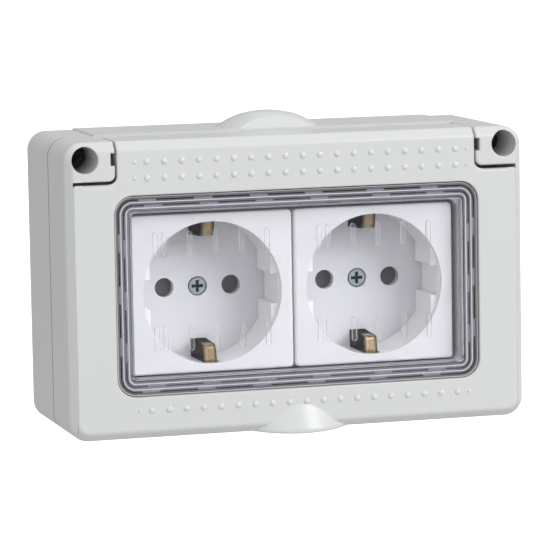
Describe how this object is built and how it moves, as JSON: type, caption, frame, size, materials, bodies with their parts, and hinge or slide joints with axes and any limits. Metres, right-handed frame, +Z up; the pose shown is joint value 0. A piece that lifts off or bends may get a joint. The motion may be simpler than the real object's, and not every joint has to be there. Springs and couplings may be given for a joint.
{
  "type": "outdoor weatherproof socket",
  "caption": "Surface-mounted weatherproof double socket outlet: grey housing, hinged lid with a clear window, round recessed outlets with spring earth clips and pin-hole shutters.",
  "frame": {"origin": "middle of the wall face of the back box", "axes": "+X to the right seen from the front, +Z up, and the front faces -Y"},
  "size_m": [0.129, 0.05, 0.086],
  "materials": {
    "housing": "satin light grey",
    "membrane": "soft grey",
    "seal": "dark soft",
    "carrier": "plain grey",
    "window": "clear",
    "outlet": "gloss white",
    "inner": "plain off-white",
    "shutter": "dark grey",
    "brass": "bright",
    "zinc": "zinc plated"
  },
  "bodies": {
    "base": {"back_box": "housing", "cable_membrane": "membrane", "front_frame": "housing", "sealing_band": "seal", "frame_screws": "zinc", "module_carrier": "carrier", "carrier_screws": "zinc", "collar_gasket": "seal", "socket_cover_left": "outlet", "socket_base_left": "inner", "contact_live_left": "brass", "contact_neutral_left": "brass", "terminal_screws_left": "zinc", "earth_strap_left": "brass", "centre_screw_left": "zinc", "shutter_spring_left": "zinc", "socket_cover_right": "outlet", "socket_base_right": "inner", "contact_live_right": "brass", "contact_neutral_right": "brass", "terminal_screws_right": "zinc", "earth_strap_right": "brass", "centre_screw_right": "zinc", "shutter_spring_right": "zinc"},
    "lid_body": {"lid": "housing", "window": "window"},
    "shutter_body_left": {"shutter_left": "shutter"},
    "shutter_body_right": {"shutter_right": "shutter"}
  },
  "joints": [
    {"name": "lid_hinge", "type": "hinge", "parent": "base", "child": "lid_body", "pos_m": [0, -0.0312, 0.0356], "axis": [-1, 0, 0], "range_deg": [0, 90]},
    {"name": "shutter_left_slide", "type": "slide", "parent": "base", "child": "shutter_body_left", "axis": [0, 0, -1], "range_m": [0, 0.0058], "stiffness_N_per_m": 120, "springref_m": -0.002, "deforming": ["shutter_spring_left"]},
    {"name": "shutter_right_slide", "type": "slide", "parent": "base", "child": "shutter_body_right", "axis": [0, 0, -1], "range_m": [0, 0.0058], "stiffness_N_per_m": 120, "springref_m": -0.002, "deforming": ["shutter_spring_right"]}
  ]
}
